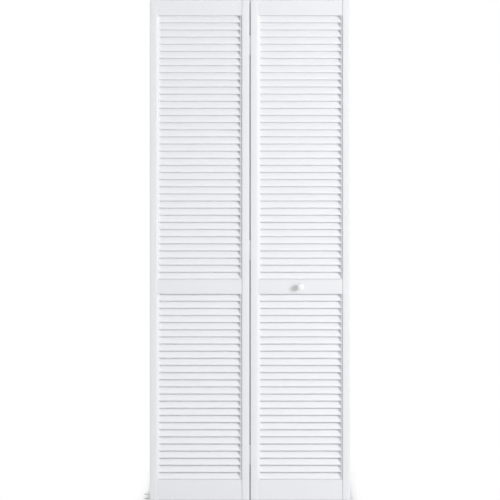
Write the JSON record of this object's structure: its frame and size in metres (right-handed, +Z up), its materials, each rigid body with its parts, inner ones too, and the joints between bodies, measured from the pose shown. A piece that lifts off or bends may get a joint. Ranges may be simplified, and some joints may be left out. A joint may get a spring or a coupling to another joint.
{
  "type": "bifold closet door",
  "caption": "White louvred bifold closet door of two hinged leaves, with a round knob, head track, sprung top pivot and guide, and a bottom pivot bracket.",
  "frame": {"origin": "middle of the head track's top face, where it meets the header", "axes": "+Z up, -Y to the room side, X across the opening with the pivot jamb at -X"},
  "size_m": [0.8283, 0.0621, 2.0615],
  "materials": {
    "white_paint": "satin white paint on wood",
    "knob_paint": "semi-gloss white paint on turned wood",
    "zinc_steel": "bright zinc plate",
    "white_steel": "baked white enamel",
    "nylon": "natural nylon"
  },
  "bodies": {
    "root": {"head_track": "white_steel", "track_screw_1": "zinc_steel", "track_screw_2": "zinc_steel", "track_screw_3": "zinc_steel", "track_screw_4": "zinc_steel", "top_pivot_bracket": "zinc_steel", "top_bracket_screw": "zinc_steel", "jamb_bracket": "zinc_steel", "jamb_screw_1": "zinc_steel", "jamb_screw_2": "zinc_steel", "bottom_pivot_pin": "zinc_steel", "pivot_lock_nut": "zinc_steel"},
    "pivot_leaf": {"pivot_jamb_stile": "white_paint", "pivot_hinge_stile": "white_paint", "pivot_top_rail": "white_paint", "pivot_mid_rail": "white_paint", "pivot_bottom_rail": "white_paint", "pivot_upper_slats": "white_paint", "pivot_lower_slats": "white_paint", "top_pivot_sleeve": "nylon", "top_pivot_spring": "zinc_steel", "bottom_pivot_sleeve": "nylon", "hinge_1_pivot_plate": "zinc_steel", "hinge_1_pin": "zinc_steel", "hinge_1_pivot_screw_1": "zinc_steel", "hinge_1_pivot_screw_2": "zinc_steel", "hinge_2_pivot_plate": "zinc_steel", "hinge_2_pin": "zinc_steel", "hinge_2_pivot_screw_1": "zinc_steel", "hinge_2_pivot_screw_2": "zinc_steel", "hinge_3_pivot_plate": "zinc_steel", "hinge_3_pin": "zinc_steel", "hinge_3_pivot_screw_1": "zinc_steel", "hinge_3_pivot_screw_2": "zinc_steel"},
    "lead_leaf": {"lead_hinge_stile": "white_paint", "lead_guide_stile": "white_paint", "lead_top_rail": "white_paint", "lead_mid_rail": "white_paint", "lead_bottom_rail": "white_paint", "lead_upper_slats": "white_paint", "lead_lower_slats": "white_paint", "guide_sleeve": "nylon", "guide_spring": "zinc_steel", "knob": "knob_paint", "knob_screw": "zinc_steel", "hinge_1_lead_plate": "zinc_steel", "hinge_1_lead_screw_1": "zinc_steel", "hinge_1_lead_screw_2": "zinc_steel", "hinge_2_lead_plate": "zinc_steel", "hinge_2_lead_screw_1": "zinc_steel", "hinge_2_lead_screw_2": "zinc_steel", "hinge_3_lead_plate": "zinc_steel", "hinge_3_lead_screw_1": "zinc_steel", "hinge_3_lead_screw_2": "zinc_steel"},
    "top_pivot": {"top_pivot_pin": "zinc_steel"},
    "guide": {"guide_pin": "zinc_steel"},
    "roller": {"guide_roller": "nylon"}
  },
  "joints": [
    {"name": "fold", "type": "hinge", "parent": "root", "child": "pivot_leaf", "pos_m": [-0.375, 0, -1.0295], "axis": [0, 0, -1], "range_deg": [0, 86]},
    {"name": "leaf_hinge", "type": "hinge", "parent": "pivot_leaf", "child": "lead_leaf", "pos_m": [0, 0.01835, -1.0295], "axis": [0, 0, 1], "range_deg": [0, 172]},
    {"name": "top_pivot_slide", "type": "slide", "parent": "pivot_leaf", "child": "top_pivot", "axis": [0, 0, 1], "range_m": [-0.012, 0], "stiffness_N_per_m": 300, "springref_m": 0.01, "deforming": ["top_pivot_spring"]},
    {"name": "guide_slide", "type": "slide", "parent": "lead_leaf", "child": "guide", "axis": [0, 0, 1], "range_m": [-0.0062, 0], "stiffness_N_per_m": 300, "springref_m": 0.01, "deforming": ["guide_spring"]},
    {"name": "guide_spin", "type": "hinge", "parent": "guide", "child": "roller", "pos_m": [0.375, 0, -0.0195], "axis": [0, 0, 1], "continuous": true}
  ],
  "couplings": [
    {"joint": "leaf_hinge", "follows": "fold", "ratio": 2}
  ]
}
